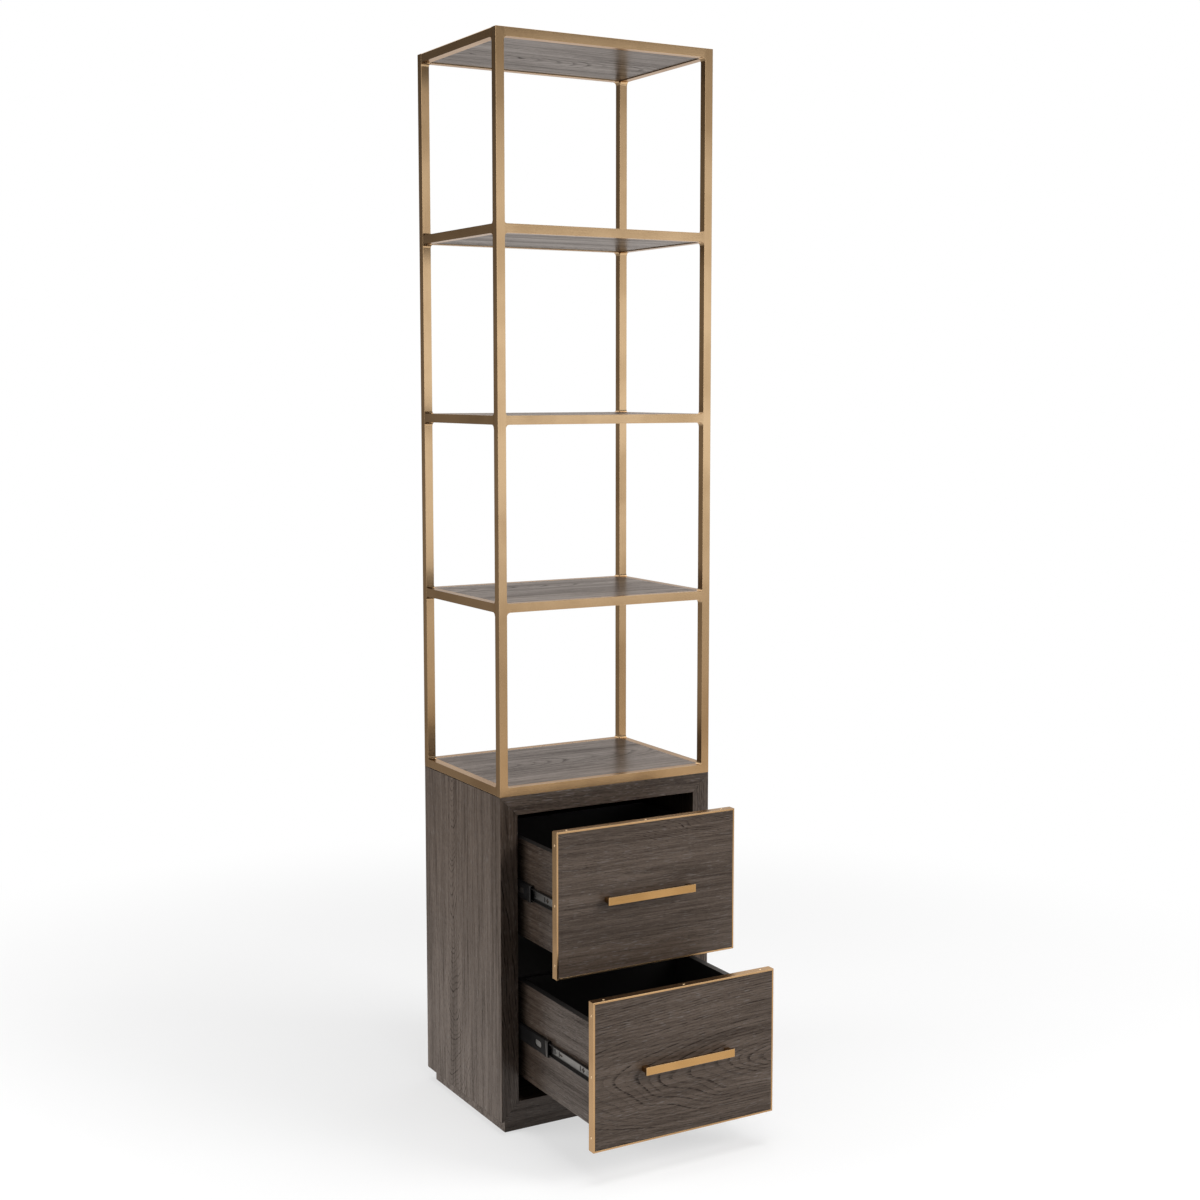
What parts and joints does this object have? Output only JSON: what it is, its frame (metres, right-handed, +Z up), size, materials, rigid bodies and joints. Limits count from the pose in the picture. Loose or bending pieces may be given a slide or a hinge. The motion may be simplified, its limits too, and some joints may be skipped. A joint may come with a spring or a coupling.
{
  "type": "display cabinet",
  "caption": "Tall slim display cabinet: open square-tube shelving tower with inset oak shelves on an oak base with brass-edged drawers on telescopic slides",
  "frame": {"origin": "On the floor, under the middle of the plinth.", "axes": "+Z is up; the drawers open towards -Y; +X is the right-hand side seen from the front."},
  "size_m": [0.55, 0.7583, 2.4406],
  "materials": {
    "brass": "brushed antique brass, satin",
    "oak": "dark stained oak veneer, matt lacquer",
    "lining": "black lined board",
    "steel": "zinc-plated pressed steel",
    "black_steel": "black-coated pressed steel"
  },
  "bodies": {
    "cabinet": {"front_ladder_frame": "brass", "back_ladder_frame": "brass", "left_side_rail_1": "brass", "left_side_rail_2": "brass", "left_side_rail_3": "brass", "left_side_rail_4": "brass", "left_side_rail_5": "brass", "right_side_rail_1": "brass", "right_side_rail_2": "brass", "right_side_rail_3": "brass", "right_side_rail_4": "brass", "right_side_rail_5": "brass", "shelf_panel_1": "oak", "shelf_panel_2": "oak", "shelf_panel_3": "oak", "shelf_panel_4": "oak", "shelf_panel_5": "oak", "plinth": "oak", "carcass_left": "oak", "carcass_right": "oak", "carcass_top": "oak", "carcass_bottom": "oak", "carcass_back": "lining", "upper_left_slide_cabinet_member": "black_steel", "upper_right_slide_cabinet_member": "black_steel", "lower_left_slide_cabinet_member": "black_steel", "lower_right_slide_cabinet_member": "black_steel"},
    "upper_drawer": {"upper_drawer_front": "oak", "upper_strip_left": "brass", "upper_strip_right": "brass", "upper_strip_top": "brass", "upper_strip_bottom": "brass", "upper_box_left": "oak", "upper_box_right": "oak", "upper_box_front": "lining", "upper_box_back": "lining", "upper_box_bottom": "lining", "upper_handle": "brass", "upper_left_slide_drawer_member": "steel", "upper_right_slide_drawer_member": "steel"},
    "lower_drawer": {"lower_drawer_front": "oak", "lower_strip_left": "brass", "lower_strip_right": "brass", "lower_strip_top": "brass", "lower_strip_bottom": "brass", "lower_box_left": "oak", "lower_box_right": "oak", "lower_box_front": "lining", "lower_box_back": "lining", "lower_box_bottom": "lining", "lower_handle": "brass", "lower_left_slide_drawer_member": "steel", "lower_right_slide_drawer_member": "steel"},
    "upper_middle_members": {"upper_left_slide_middle_member": "black_steel", "upper_right_slide_middle_member": "black_steel"},
    "lower_middle_members": {"lower_left_slide_middle_member": "black_steel", "lower_right_slide_middle_member": "black_steel"}
  },
  "joints": [
    {"name": "upper_drawer_slide", "type": "slide", "parent": "cabinet", "child": "upper_drawer", "axis": [0, -1, 0], "range_m": [-0.177, 0.173]},
    {"name": "lower_drawer_slide", "type": "slide", "parent": "cabinet", "child": "lower_drawer", "axis": [0, -1, 0], "range_m": [-0.336, 0.014]},
    {"name": "upper_middle_slide", "type": "slide", "parent": "cabinet", "child": "upper_middle_members", "axis": [0, -1, 0], "range_m": [-0.0885, 0.0865]},
    {"name": "lower_middle_slide", "type": "slide", "parent": "cabinet", "child": "lower_middle_members", "axis": [0, -1, 0], "range_m": [-0.168, 0.007]}
  ],
  "couplings": [
    {"joint": "upper_middle_slide", "follows": "upper_drawer_slide", "ratio": 0.5},
    {"joint": "lower_middle_slide", "follows": "lower_drawer_slide", "ratio": 0.5}
  ]
}
